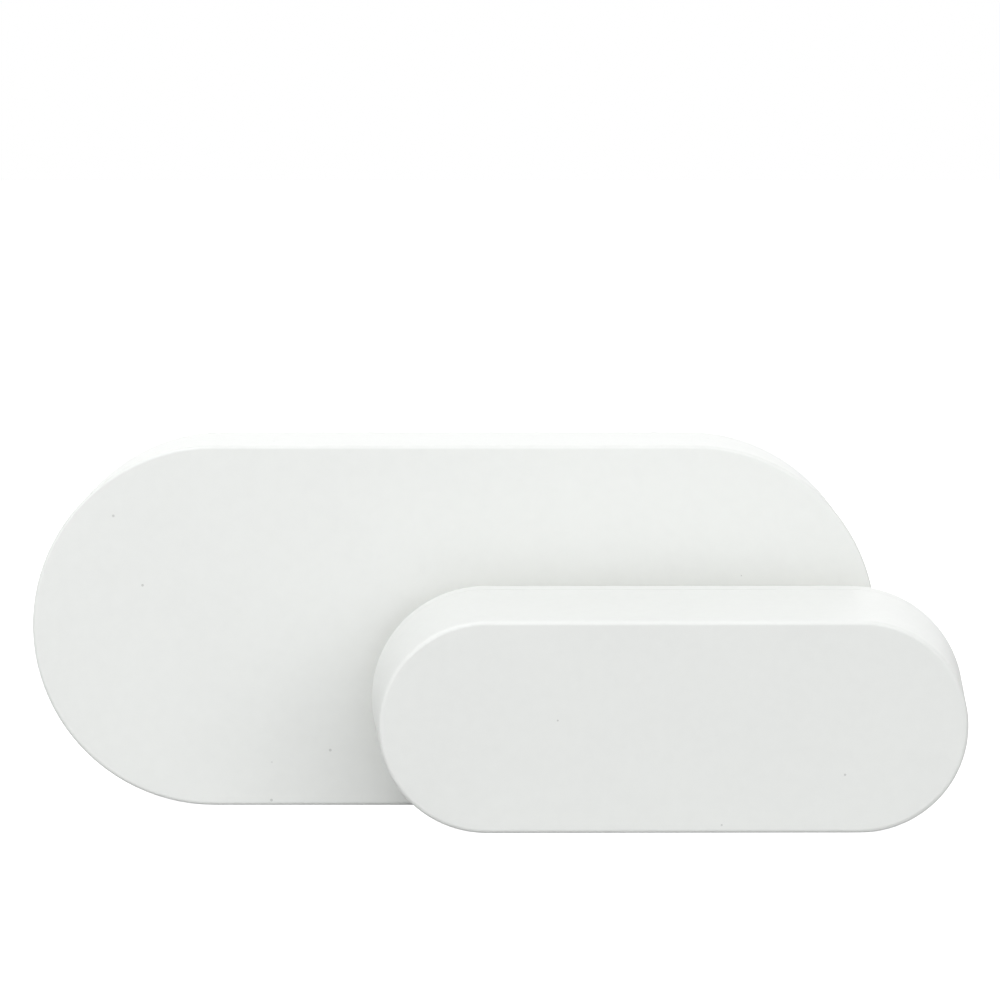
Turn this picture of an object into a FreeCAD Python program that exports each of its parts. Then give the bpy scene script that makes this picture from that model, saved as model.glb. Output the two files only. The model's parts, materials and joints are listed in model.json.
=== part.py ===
import FreeCAD, Part
import math
import os

# Door contact sensor, in millimetres: a battery-powered sensor unit and a smaller magnet unit, both
# pill-shaped casings that stand on a long straight side.
#
# Each unit is built in its own frame: X along its length, Y from the front face (Y = 0) to the back,
# Z across its height, with the X-Y plane through the middle of the pill. The units are then placed in
# one row frame, +Z up, whose origin is the centre of the whole set's footprint.

V = FreeCAD.Vector
X_AXIS = V(1, 0, 0)
Y_AXIS = V(0, 1, 0)
Z_AXIS = V(0, 0, 1)
BEYOND = 5.0                      # how far a cutting tool runs past the face that it cuts
TINY = 1e-6

# sensor casing
SENSOR_LENGTH = 70.0
SENSOR_HEIGHT = 30.0
CASE_DEPTH = 17.0                 # front face to the back of the wall plate
CASE_WALL = 1.5
FRONT_WALL = 1.4
SENSOR_EDGE_ROUND = 0.3
PLATE_THICKNESS = 1.6
PARTING_GAP = 0.06                # fine line between a cover and its back plate
BACK_EDGE_ROUND = 0.3
SENSOR_TAPE_THICKNESS = 1.0
TAPE_INSET = 3.5

# wall plate
RIM_CLEARANCE = 0.15              # rim of a back plate to the inside of its cover
RIM_WALL = 1.0
RIM_HEIGHT = 1.6
PLATE_HOLE_SPACING = 32.0
PLATE_HOLE_RADIUS = 1.75          # for a 3.5 mm screw
COUNTERSINK_RADIUS = 2.9
COUNTERSINK_DEPTH = 1.0
TAPE_HOLE_RADIUS = 3.2

# circuit board
BOARD_FRONT = 3.2
BOARD_THICKNESS = 0.8
BOARD_CLEARANCE = 0.5
BOARD_BACK = BOARD_FRONT + BOARD_THICKNESS

# battery chassis
CHASSIS_FLANGE_CLEARANCE = 0.2
CHASSIS_FLANGE_DEPTH = 1.5
CHASSIS_INSET = 1.4               # chassis body to the inside of the cover
CHASSIS_WALL = 1.2
CHASSIS_FLOOR = 0.5
CHASSIS_BACK = 15.2
DECK_THICKNESS = 1.2
BAY_HALF_LENGTH = 25.2
BAY_HALF_HEIGHT = 10.8

# AAA cells
CELL_RADIUS = 5.25
CELL_LENGTH = 44.5
CELL_NUB_RADIUS = 1.9
CELL_NUB_HEIGHT = 1.2
CELL_NUB_ROOT = 1.0
CELL_EDGE_ROUND = 0.5
CELL_GAP = 0.4                    # between the two cells
CELL_FLOOR_GAP = 0.2
CONTACT_GAP = 0.15
CONTACT_THICKNESS = 0.4
CONTACT_HALF_WIDTH = 3.8
CONTACT_DEPTH = 8.5
TAB_HALF_WIDTH = 1.0
TAB_CLEARANCE = 0.1
TAB_OVERLAP = 1.0                 # how far a tab runs up its contact plate
SPRING_BASE_RADIUS = 3.4
SPRING_TIP_RADIUS = 2.0
SPRING_WIRE = 0.5

# four screws that hold the chassis and board in the cover
SCREW_X = 27.3
SCREW_Z = 6.6
SCREW_HEAD_RADIUS = 1.4
SCREW_HEAD_HEIGHT = 1.0
SCREW_SHANK_RADIUS = 0.75
SCREW_LENGTH = 5.8
RECESS_LENGTH = 1.6
RECESS_WIDTH = 0.35
RECESS_DEPTH = 0.5
SCREW_HOLE_RADIUS = 0.95
PILOT_RADIUS = 0.8
PILOT_FLOOR = 0.6                 # left under each pilot hole, above the inside of the front wall
BOSS_RADIUS = 1.3
BOSS_SHOULDER_RADIUS = 2.2
BOSS_TOP = 7.0
SOCKET_RADIUS = 1.5               # bore around a cover boss, and the well above a screw head
SOCKET_WALL = 0.7
SOCKET_TOP = 7.2
SCREW_SEAT = 8.4

# switches, the pairing button and the tamper plunger, one at each end of the chassis
BUTTON_X = 28.6
SWITCH_SIZE = V(3.2, 2.5, 5.0)
SWITCH_RECESS_RADIUS = 1.15
SWITCH_RECESS_DEPTH = 1.0
BUTTON_POST_RADIUS = 1.0
BUTTON_FLANGE_RADIUS = 2.2
BUTTON_FLANGE_HEIGHT = 1.0
BUTTON_TOP_RADIUS = 1.8
BUTTON_HOLE_RADIUS = 2.0
BUTTON_STOP_GAP = 0.05
BUTTON_RIM_ROUND = 0.3
PAIRING_TOP = 15.1
TAMPER_TOP = 15.35

# reed switch, laid in a notch of the board beside the lower long side
REED_Z = -11.4
REED_Y = 2.95
REED_RADIUS = 1.0
REED_GLASS_WALL = 0.25
REED_LENGTH = 14.0
REED_SEAL = 1.5
REED_LEAD_RADIUS = 0.23
REED_SEAL_GAP = 0.01
REED_END_ROUND = 0.6
REED_LEAD_REACH = 10.5
REED_BLADE_HALF_WIDTH = 0.4
REED_BLADE_THICKNESS = 0.12
REED_BLADE_OFFSET = 0.1
REED_OVERLAP = 0.8
REED_ROOT = 0.5                   # round part of each reed inside the glass
NOTCH_CLEARANCE = 0.4

# parts soldered to the front of the board
RADIO_X = -10.0
RADIO_Z = 2.0
RADIO_BOARD_SIZE = V(15.0, 0.5, 12.0)
SHIELD_SIZE = V(12.6, 0.9, 10.2)
SHIELD_SHEET = 0.15
SHIELD_CORNER_ROUND = 0.6
ANTENNA_X = -29.6
ANTENNA_SIZE = V(2.0, 1.1, 6.0)
LAMP_X = 20.0
LAMP_SIZE = V(2.0, 0.8, 1.25)
LAMP_POCKET_RADIUS = 1.6
LAMP_POCKET_DEPTH = 0.7
CRYSTAL_X = 3.4
CRYSTAL_Z = 6.0
CRYSTAL_SIZE = V(3.2, 0.8, 2.5)
REGULATOR_X = 11.0
REGULATOR_SIZE = V(2.9, 1.1, 1.6)
LEAD_SIZE = V(0.4, 0.2, 2.6)
LEAD_PITCH = 0.95
CHIP_SIZE = V(1.6, 0.8, 0.8)
CHIP_PITCH = 2.6
CHIP_COUNT = 5
CAPACITOR_X = 2.0
CAPACITOR_Z = -4.6
RESISTOR_X = 5.0
RESISTOR_Z = 9.5

# magnet unit: its side walls widen towards the back
MAGNET_FRONT_LENGTH = 47.2
MAGNET_FRONT_HEIGHT = 17.2
MAGNET_DEPTH = 13.5
MAGNET_DRAFT = 0.8                # how much further out the walls are at the back than at the front
MAGNET_EDGE_ROUND = 0.35
MAGNET_WALL = 1.4
BASE_THICKNESS = 1.6
MAGNET_TAPE_THICKNESS = 0.4
MAGNET_TAPE_INSET = 2.0
BAR_SIZE = V(25.0, 5.0, 8.0)
BAR_FRONT = 3.0
BAR_CLEARANCE = 0.15
BAR_FLOOR_GAP = 0.1
HOLDER_WALL = 1.6
HOLDER_FRONT = 3.2
HOLDER_CORE_FRONT = 9.2
PAD_SIZE = V(20.0, 1.4, 6.0)

# where the magnet unit stands in front of the sensor unit
MAGNET_OFFSET_X = 17.7
MAGNET_GAP = 2.5                  # back edge of the magnet unit to the sensor's face, at the floor
MAGNET_YAW = 0.4                  # degrees, with the right end further back

SLOPE = MAGNET_DRAFT / MAGNET_DEPTH
MAGNET_TILT = math.degrees(math.atan(SLOPE))   # it rests on its sloping side, so it leans forwards


def block(size, centre):
    """Box of a given size about its centre."""
    return Part.makeBox(size.x, size.y, size.z, centre - size * 0.5)


def rod(radius, start, end, x=0.0, z=0.0):
    """Round rod along Y from one depth to another."""
    return Part.makeCylinder(radius, end - start, V(x, start, z), Y_AXIS)


def pill(length, height, start, end):
    """Straight-walled pill between two depths."""
    radius = height / 2
    half = length / 2 - radius
    tips = [V(length / 2, start, 0), V(-length / 2, start, 0)]
    corners = [V(-half, start, radius), V(half, start, radius)]
    corners += [V(half, start, -radius), V(-half, start, -radius)]
    edges = [
        Part.LineSegment(corners[0], corners[1]).toShape(),
        Part.Arc(corners[1], tips[0], corners[2]).toShape(),
        Part.LineSegment(corners[2], corners[3]).toShape(),
        Part.Arc(corners[3], tips[1], corners[0]).toShape(),
    ]
    return Part.Face(Part.Wire(edges)).extrude(V(0, end - start, 0))


def tapered_pill(inset, start, end):
    """Pill whose walls follow the magnet unit's slope, inset from its outside."""
    half = (MAGNET_FRONT_LENGTH - MAGNET_FRONT_HEIGHT) / 2
    near = MAGNET_FRONT_HEIGHT / 2 - inset + SLOPE * start
    far = MAGNET_FRONT_HEIGHT / 2 - inset + SLOPE * end
    section = [V(-half, start, near), V(-half, end, far), V(-half, end, -far), V(-half, start, -near)]
    middle = Part.Face(Part.makePolygon(section + section[:1])).extrude(V(2 * half, 0, 0))
    ends = [Part.makeCone(near, far, end - start, V(x, start, 0), Y_AXIS) for x in (-half, half)]
    return middle.fuse(ends).removeSplitter()


def round_edge(shape, depth, radius):
    """Round every edge that lies in the plane at one depth."""
    flat = [e for e in shape.Edges if abs(e.BoundBox.YMin - depth) < TINY and e.BoundBox.YLength < TINY]
    return shape.makeFillet(radius, flat)


def single(shape):
    """The one solid of a shape that should hold only one."""
    solids = shape.removeSplitter().Solids
    if len(solids) != 1:
        raise ValueError(f"expected one solid, found {len(solids)}")
    return solids[0]


def screw_places():
    """The four chassis screws, as X, Z pairs."""
    return [(x, z) for x in (-SCREW_X, SCREW_X) for z in (-SCREW_Z, SCREW_Z)]


def front_cover():
    end = CASE_DEPTH - PLATE_THICKNESS - PARTING_GAP
    shell = round_edge(pill(SENSOR_LENGTH, SENSOR_HEIGHT, 0, end), 0, SENSOR_EDGE_ROUND)
    inside = pill(SENSOR_LENGTH - 2 * CASE_WALL, SENSOR_HEIGHT - 2 * CASE_WALL, FRONT_WALL, end + BEYOND)
    shell = shell.cut(inside)
    bosses = []
    for x, z in screw_places():
        boss = rod(BOSS_SHOULDER_RADIUS, FRONT_WALL, BOARD_FRONT, x, z)
        bosses.append(boss.fuse(rod(BOSS_RADIUS, FRONT_WALL, BOSS_TOP, x, z)))
    shell = shell.fuse(bosses)
    pilot_start = FRONT_WALL + PILOT_FLOOR
    pilots = [rod(PILOT_RADIUS, pilot_start, BOSS_TOP + BEYOND, x, z) for x, z in screw_places()]
    lamp_pocket = rod(LAMP_POCKET_RADIUS, FRONT_WALL - LAMP_POCKET_DEPTH, BOARD_FRONT, LAMP_X)
    return single(shell.cut(pilots + [lamp_pocket]))


def battery_chassis():
    inner_length = SENSOR_LENGTH - 2 * CASE_WALL
    inner_height = SENSOR_HEIGHT - 2 * CASE_WALL
    body_length = inner_length - 2 * CHASSIS_INSET
    body = pill(body_length, inner_height - 2 * CHASSIS_INSET, BOARD_BACK, CHASSIS_BACK)
    flange_gap = 2 * CHASSIS_FLANGE_CLEARANCE
    flange_end = BOARD_BACK + CHASSIS_FLANGE_DEPTH
    body = body.fuse(pill(inner_length - flange_gap, inner_height - flange_gap, BOARD_BACK, flange_end))

    # one cavity at each end, open towards the board, with a deck left over it
    shrink = 2 * (CHASSIS_INSET + CHASSIS_WALL)
    deck_front = CHASSIS_BACK - DECK_THICKNESS
    hollow = pill(inner_length - shrink, inner_height - shrink, BOARD_BACK - BEYOND, deck_front)
    middle = V(2 * (BAY_HALF_LENGTH + CHASSIS_WALL), 4 * CHASSIS_BACK, 2 * SENSOR_HEIGHT)
    body = body.cut(hollow.cut(block(middle, V(0, 0, 0))))

    # screw sockets, each with a thin web for the screw head to clamp
    sockets = []
    socket_bores = []
    for x, z in screw_places():
        sockets.append(rod(SOCKET_RADIUS + SOCKET_WALL, BOARD_BACK, CHASSIS_BACK, x, z))
        socket_bores.append(rod(SOCKET_RADIUS, BOARD_BACK - BEYOND, SOCKET_TOP, x, z))
        socket_bores.append(rod(SCREW_HOLE_RADIUS, SOCKET_TOP - BEYOND, SCREW_SEAT + BEYOND, x, z))
        socket_bores.append(rod(SOCKET_RADIUS, SCREW_SEAT, CHASSIS_BACK + BEYOND, x, z))
    body = body.fuse(sockets)

    bay_front = BOARD_BACK + CHASSIS_FLOOR
    bay_depth = CHASSIS_BACK + BEYOND - bay_front
    bay = block(V(2 * BAY_HALF_LENGTH, bay_depth, 2 * BAY_HALF_HEIGHT), V(0, bay_front + bay_depth / 2, 0))
    hole_start = deck_front - BEYOND
    hole_end = CHASSIS_BACK + BEYOND
    button_holes = [rod(BUTTON_HOLE_RADIUS, hole_start, hole_end, x) for x in (-BUTTON_X, BUTTON_X)]
    tab_slots = [contact_tab(side, z, TAB_CLEARANCE) for side in (-1, 1) for z in (-cell_z(), cell_z())]
    return single(body.cut(socket_bores + [bay] + button_holes + tab_slots))


def cell_z():
    """Distance of each cell's axis from the middle of the bay."""
    return CELL_RADIUS + CELL_GAP / 2


def cell_y():
    """Depth of the cells' axes."""
    return BOARD_BACK + CHASSIS_FLOOR + CELL_FLOOR_GAP + CELL_RADIUS


def contact_tab(side, z, clearance):
    """Solder tab of a battery contact, from the board through the chassis floor."""
    depth = CHASSIS_FLOOR + TAB_OVERLAP
    size = V(CONTACT_THICKNESS + 2 * clearance, depth, 2 * (TAB_HALF_WIDTH + clearance))
    x = side * (BAY_HALF_LENGTH - CONTACT_THICKNESS / 2 - clearance)
    return block(size, V(x, BOARD_BACK + depth / 2, z))


def contact_plate(side, z):
    """Flat contact against one end wall of the battery bay, with its solder tab."""
    bottom = BOARD_BACK + CHASSIS_FLOOR + CELL_FLOOR_GAP
    size = V(CONTACT_THICKNESS, CONTACT_DEPTH, 2 * CONTACT_HALF_WIDTH)
    x = side * (BAY_HALF_LENGTH - CONTACT_THICKNESS / 2)
    plate = block(size, V(x, bottom + CONTACT_DEPTH / 2, z))
    return plate.fuse(contact_tab(side, z, 0.0)).removeSplitter()


def nub_x():
    """Distance of a cell's positive tip from the middle of the bay."""
    return BAY_HALF_LENGTH - CONTACT_THICKNESS - CONTACT_GAP


def battery_plate_contacts():
    return Part.makeCompound([contact_plate(side, side * cell_z()) for side in (1, -1)])


def battery_spring_contacts():
    """Two contacts with a conical spring, drawn as its hollow outer shape."""
    base_x = BAY_HALF_LENGTH - CONTACT_THICKNESS
    tip_x = CELL_LENGTH - nub_x() + CONTACT_GAP
    contacts = []
    for side in (1, -1):
        z = -side * cell_z()
        start = V(side * base_x, cell_y(), z)
        direction = X_AXIS * -side
        height = base_x - tip_x
        outside = Part.makeCone(SPRING_BASE_RADIUS, SPRING_TIP_RADIUS, height, start, direction)
        inner_base = SPRING_BASE_RADIUS - SPRING_WIRE
        inner_tip = SPRING_TIP_RADIUS - SPRING_WIRE
        inside = Part.makeCone(inner_base, inner_tip, height, start, direction)
        contacts.append(contact_plate(side, z).fuse(outside.cut(inside)).removeSplitter())
    return Part.makeCompound(contacts)


def battery_cell(side):
    """AAA cell along X with its positive tip towards the given side."""
    shoulder = CELL_LENGTH - CELL_NUB_HEIGHT
    can = Part.makeCylinder(CELL_RADIUS, shoulder, V(0, 0, 0), X_AXIS)
    rims = [e for e in can.Edges if isinstance(e.Curve, Part.Circle)]
    can = can.makeFillet(CELL_EDGE_ROUND, rims)
    nub_start = V(shoulder - CELL_NUB_ROOT, 0, 0)
    nub = Part.makeCylinder(CELL_NUB_RADIUS, CELL_NUB_ROOT + CELL_NUB_HEIGHT, nub_start, X_AXIS)
    cell = can.fuse(nub).removeSplitter()
    cell.translate(V(nub_x() - CELL_LENGTH, 0, 0))
    if side < 0:
        cell.rotate(V(0, 0, 0), Y_AXIS, 180)
    cell.translate(V(0, cell_y(), side * cell_z()))
    return cell


def chassis_screws():
    screws = []
    for x, z in screw_places():
        head = rod(SCREW_HEAD_RADIUS, SCREW_SEAT, SCREW_SEAT + SCREW_HEAD_HEIGHT, x, z)
        shank = rod(SCREW_SHANK_RADIUS, SCREW_SEAT - SCREW_LENGTH, SCREW_SEAT, x, z)
        head_top = V(x, SCREW_SEAT + SCREW_HEAD_HEIGHT, z)
        across = V(RECESS_LENGTH, 2 * RECESS_DEPTH, RECESS_WIDTH)
        along = V(RECESS_WIDTH, 2 * RECESS_DEPTH, RECESS_LENGTH)
        screws.append(head.fuse(shank).cut([block(across, head_top), block(along, head_top)]))
    return Part.makeCompound([single(s) for s in screws])


def circuit_board():
    shrink = 2 * (CASE_WALL + BOARD_CLEARANCE)
    board = pill(SENSOR_LENGTH - shrink, SENSOR_HEIGHT - shrink, BOARD_FRONT, BOARD_BACK)
    holes = [rod(SOCKET_RADIUS, 0, CASE_DEPTH, x, z) for x, z in screw_places()]
    notch_length = REED_LENGTH + 2 * NOTCH_CLEARANCE
    notch_height = 2 * (REED_RADIUS + NOTCH_CLEARANCE / 2)
    notch = block(V(notch_length, CASE_DEPTH, notch_height), V(0, REED_Y, REED_Z))
    return single(board.cut(holes + [notch]))


def along_x(radius, start, end):
    """Round rod along X at the reed switch's axis."""
    return Part.makeCylinder(radius, end - start, V(start, REED_Y, REED_Z), X_AXIS)


def reed_glass():
    half = REED_LENGTH / 2
    tube = along_x(REED_RADIUS, -half, half)
    rims = [e for e in tube.Edges if isinstance(e.Curve, Part.Circle)]
    tube = tube.makeFillet(REED_END_ROUND, rims)
    chamber = along_x(REED_RADIUS - REED_GLASS_WALL, -half + REED_SEAL, half - REED_SEAL)
    lead_hole = along_x(REED_LEAD_RADIUS + REED_SEAL_GAP, -half - BEYOND, half + BEYOND)
    return single(tube.cut([chamber, lead_hole]))


def reed_blades():
    """Two reeds whose flattened tips overlap in the glass, with a hair of air between them."""
    seal_end = REED_LENGTH / 2 - REED_SEAL
    blades = []
    for side in (-1, 1):
        ends = sorted([side * (seal_end - REED_ROOT), side * REED_LEAD_REACH])
        lead = along_x(REED_LEAD_RADIUS, ends[0], ends[1])
        size = V(seal_end + REED_OVERLAP, REED_BLADE_THICKNESS, 2 * REED_BLADE_HALF_WIDTH)
        x = side * (seal_end - REED_OVERLAP - REED_ROOT / 2) / 2
        blade = block(size - V(REED_ROOT / 2, 0, 0), V(x, REED_Y + side * REED_BLADE_OFFSET, REED_Z))
        blades.append(single(lead.fuse(blade)))
    return Part.makeCompound(blades)


def on_board(size, x, z):
    """Box soldered to the front of the board."""
    return block(size, V(x, BOARD_FRONT - size.y / 2, z))


def radio_module_board():
    return on_board(RADIO_BOARD_SIZE, RADIO_X, RADIO_Z)


def radio_shield_can():
    centre = V(RADIO_X, BOARD_FRONT - RADIO_BOARD_SIZE.y - SHIELD_SIZE.y / 2, RADIO_Z)
    can = block(SHIELD_SIZE, centre)
    standing = [e for e in can.Edges if e.BoundBox.YLength > SHIELD_SIZE.y / 2]
    can = can.makeFillet(SHIELD_CORNER_ROUND, standing)
    hollow = SHIELD_SIZE - V(2 * SHIELD_SHEET, 0, 2 * SHIELD_SHEET)
    return single(can.cut(block(hollow, centre + V(0, SHIELD_SHEET, 0))))


def voltage_regulator():
    body = on_board(REGULATOR_SIZE, REGULATOR_X, 0)
    leads = [on_board(LEAD_SIZE, REGULATOR_X + i * LEAD_PITCH, 0) for i in (-1, 0, 1)]
    return single(body.fuse(leads))


def chip_row(x, z, offset):
    """A row of equal chip parts, alternately turned a quarter."""
    chips = []
    for i in range(CHIP_COUNT):
        turned = V(CHIP_SIZE.z, CHIP_SIZE.y, CHIP_SIZE.x)
        size = turned if (i + offset) % 2 else CHIP_SIZE
        chips.append(on_board(size, x + i * CHIP_PITCH, z))
    return Part.makeCompound(chips)


def tact_switch(x):
    """Low push switch on the back of the board, with a round recess over its dome."""
    body = block(SWITCH_SIZE, V(x, BOARD_BACK + SWITCH_SIZE.y / 2, 0))
    top = BOARD_BACK + SWITCH_SIZE.y
    return single(body.cut(rod(SWITCH_RECESS_RADIUS, top - SWITCH_RECESS_DEPTH, top + BEYOND, x)))


def long_button(x, top):
    """Button whose post stands on the switch's dome and whose flange stops under the deck."""
    switch_top = BOARD_BACK + SWITCH_SIZE.y
    flange_top = CHASSIS_BACK - DECK_THICKNESS - BUTTON_STOP_GAP
    post = rod(BUTTON_POST_RADIUS, switch_top + BUTTON_STOP_GAP, flange_top, x)
    flange = rod(BUTTON_FLANGE_RADIUS, flange_top - BUTTON_FLANGE_HEIGHT, flange_top, x)
    cap = rod(BUTTON_TOP_RADIUS, flange_top - BUTTON_FLANGE_HEIGHT, top, x)
    return single(post.fuse([flange, round_edge(cap, top, BUTTON_RIM_ROUND)]))


def wall_plate():
    front = CASE_DEPTH - PLATE_THICKNESS
    plate = round_edge(pill(SENSOR_LENGTH, SENSOR_HEIGHT, front, CASE_DEPTH), CASE_DEPTH, BACK_EDGE_ROUND)
    shrink = 2 * (CASE_WALL + RIM_CLEARANCE)
    outside = pill(SENSOR_LENGTH - shrink, SENSOR_HEIGHT - shrink, front - RIM_HEIGHT, front)
    shrink += 2 * RIM_WALL
    inside = pill(SENSOR_LENGTH - shrink, SENSOR_HEIGHT - shrink, front - RIM_HEIGHT - BEYOND, front)
    plate = plate.fuse(outside.cut(inside))
    holes = []
    for x in (-PLATE_HOLE_SPACING / 2, PLATE_HOLE_SPACING / 2):
        holes.append(rod(PLATE_HOLE_RADIUS, front - BEYOND, CASE_DEPTH + BEYOND, x))
        mouth = V(x, front, 0)
        holes.append(Part.makeCone(COUNTERSINK_RADIUS, PLATE_HOLE_RADIUS, COUNTERSINK_DEPTH, mouth, Y_AXIS))
    return single(plate.cut(holes))


def sensor_tape():
    shrink = 2 * TAPE_INSET
    end = CASE_DEPTH + SENSOR_TAPE_THICKNESS
    tape = pill(SENSOR_LENGTH - shrink, SENSOR_HEIGHT - shrink, CASE_DEPTH, end)
    places = (-PLATE_HOLE_SPACING / 2, PLATE_HOLE_SPACING / 2)
    return single(tape.cut([rod(TAPE_HOLE_RADIUS, CASE_DEPTH - BEYOND, end + BEYOND, x) for x in places]))


def magnet_cover():
    end = MAGNET_DEPTH - BASE_THICKNESS - PARTING_GAP
    shell = round_edge(tapered_pill(0.0, 0.0, end), 0, MAGNET_EDGE_ROUND)
    return single(shell.cut(tapered_pill(MAGNET_WALL, MAGNET_WALL, end + BEYOND)))


def magnet_base():
    front = MAGNET_DEPTH - BASE_THICKNESS
    plate = round_edge(tapered_pill(0.0, front, MAGNET_DEPTH), MAGNET_DEPTH, BACK_EDGE_ROUND)
    outer_inset = MAGNET_WALL + RIM_CLEARANCE
    rim = tapered_pill(outer_inset, front - RIM_HEIGHT, front)
    rim = rim.cut(tapered_pill(outer_inset + RIM_WALL, front - RIM_HEIGHT - BEYOND, front))
    return single(plate.fuse(rim))


def magnet_holder():
    """Tray on the base, with a pocket for the bar and a cored-out back."""
    back = MAGNET_DEPTH - BASE_THICKNESS
    depth = back - HOLDER_FRONT
    size = V(BAR_SIZE.x + 2 * HOLDER_WALL, depth, BAR_SIZE.z + 2 * HOLDER_WALL)
    body = block(size, V(0, HOLDER_FRONT + depth / 2, 0))
    corners = [e for e in body.Edges if e.BoundBox.YLength > depth / 2]
    body = body.makeFillet(HOLDER_WALL, corners)
    pocket_depth = BAR_FRONT + BAR_SIZE.y + BAR_FLOOR_GAP
    pocket = V(BAR_SIZE.x + 2 * BAR_CLEARANCE, 2 * pocket_depth, BAR_SIZE.z + 2 * BAR_CLEARANCE)
    core_depth = back - HOLDER_CORE_FRONT
    core = V(BAR_SIZE.x, core_depth, BAR_SIZE.z)
    core_block = block(core, V(0, back - core_depth / 2, 0))
    return single(body.cut([block(pocket, V(0, 0, 0)), core_block]))


def magnet():
    return block(BAR_SIZE, V(0, BAR_FRONT + BAR_SIZE.y / 2, 0))


def magnet_foam_pad():
    return block(PAD_SIZE, V(0, BAR_FRONT - PAD_SIZE.y / 2, 0))


def magnet_tape():
    """Mounting tape on the magnet unit's back."""
    length = MAGNET_FRONT_LENGTH + 2 * MAGNET_DRAFT - 2 * MAGNET_TAPE_INSET
    height = MAGNET_FRONT_HEIGHT + 2 * MAGNET_DRAFT - 2 * MAGNET_TAPE_INSET
    return pill(length, height, MAGNET_DEPTH, MAGNET_DEPTH + MAGNET_TAPE_THICKNESS)


def sensor_nodes():
    return {
        "front_cover": front_cover(),
        "battery_chassis": battery_chassis(),
        "circuit_board": circuit_board(),
        "radio_module_board": radio_module_board(),
        "radio_shield_can": radio_shield_can(),
        "chip_antenna": on_board(ANTENNA_SIZE, ANTENNA_X, 0),
        "reed_switch_glass": reed_glass(),
        "reed_switch_blades": reed_blades(),
        "status_lamp": on_board(LAMP_SIZE, LAMP_X, 0),
        "crystal": on_board(CRYSTAL_SIZE, CRYSTAL_X, CRYSTAL_Z),
        "voltage_regulator": voltage_regulator(),
        "capacitors": chip_row(CAPACITOR_X, CAPACITOR_Z, 0),
        "resistors": chip_row(RESISTOR_X, RESISTOR_Z, 1),
        "pairing_switch": tact_switch(BUTTON_X),
        "tamper_switch": tact_switch(-BUTTON_X),
        "battery_plate_contacts": battery_plate_contacts(),
        "battery_spring_contacts": battery_spring_contacts(),
        "chassis_screws": chassis_screws(),
        "battery_cell_upper": battery_cell(1),
        "battery_cell_lower": battery_cell(-1),
        "pairing_button": long_button(BUTTON_X, PAIRING_TOP),
        "tamper_plunger": long_button(-BUTTON_X, TAMPER_TOP),
        "wall_plate": wall_plate(),
        "sensor_tape": sensor_tape(),
    }


def magnet_nodes():
    return {
        "magnet_cover": magnet_cover(),
        "magnet_base": magnet_base(),
        "magnet_holder": magnet_holder(),
        "magnet": magnet(),
        "magnet_foam_pad": magnet_foam_pad(),
        "magnet_tape": magnet_tape(),
    }


def sensor_placement():
    """The sensor unit stands on its lower long side with its face at Y = 0."""
    return FreeCAD.Placement(V(0, 0, SENSOR_HEIGHT / 2), FreeCAD.Rotation())


def magnet_placement():
    """The magnet unit rests on its sloping lower side, in front of the sensor unit."""
    tilt = FreeCAD.Rotation(X_AXIS, MAGNET_TILT)
    yaw = FreeCAD.Rotation(Z_AXIS, MAGNET_YAW)
    back_edge = tilt.multVec(V(0, MAGNET_DEPTH, -MAGNET_FRONT_HEIGHT / 2 - MAGNET_DRAFT))
    shift = V(MAGNET_OFFSET_X, -MAGNET_GAP - back_edge.y, -back_edge.z)
    return FreeCAD.Placement(shift, yaw.multiply(tilt))


def footprint_centre(shapes):
    """Centre of the set's bounding box, on the floor."""
    boxes = [s.optimalBoundingBox(False) for s in shapes]
    middle_x = (min(b.XMin for b in boxes) + max(b.XMax for b in boxes)) / 2
    middle_y = (min(b.YMin for b in boxes) + max(b.YMax for b in boxes)) / 2
    return V(middle_x, middle_y, 0)


def placed(shape, placement):
    """Copy of a shape moved from its unit's frame."""
    moved = shape.copy()
    moved.Placement = placement.multiply(moved.Placement)
    return moved


nodes = {name: placed(s, sensor_placement()) for name, s in sensor_nodes().items()}
nodes.update({name: placed(s, magnet_placement()) for name, s in magnet_nodes().items()})
origin = footprint_centre(nodes.values())

os.makedirs("parts", exist_ok=True)
for name, shape in nodes.items():
    shape.translate(-origin)
    shape.exportStep(f"parts/{name}.step")
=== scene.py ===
import json
import math

import bmesh
import bpy
from mathutils import Matrix, Vector


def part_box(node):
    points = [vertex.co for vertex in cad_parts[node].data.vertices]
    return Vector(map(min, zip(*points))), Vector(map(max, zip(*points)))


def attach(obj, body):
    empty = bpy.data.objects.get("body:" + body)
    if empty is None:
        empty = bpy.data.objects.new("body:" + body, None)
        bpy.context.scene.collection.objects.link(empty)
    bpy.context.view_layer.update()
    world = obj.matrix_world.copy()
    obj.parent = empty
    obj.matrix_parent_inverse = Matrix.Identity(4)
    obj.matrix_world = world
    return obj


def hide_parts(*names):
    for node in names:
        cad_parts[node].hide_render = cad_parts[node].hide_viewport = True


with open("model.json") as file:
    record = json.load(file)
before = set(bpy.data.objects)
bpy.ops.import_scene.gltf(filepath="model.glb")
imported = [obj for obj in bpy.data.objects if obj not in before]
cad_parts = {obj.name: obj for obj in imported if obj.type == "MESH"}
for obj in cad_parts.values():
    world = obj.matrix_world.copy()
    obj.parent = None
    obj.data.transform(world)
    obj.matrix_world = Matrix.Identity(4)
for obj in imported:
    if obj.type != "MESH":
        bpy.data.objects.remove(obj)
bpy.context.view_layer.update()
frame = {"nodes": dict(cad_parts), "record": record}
nodes = frame["nodes"]
scene = bpy.context.scene
MM = 0.001

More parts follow.
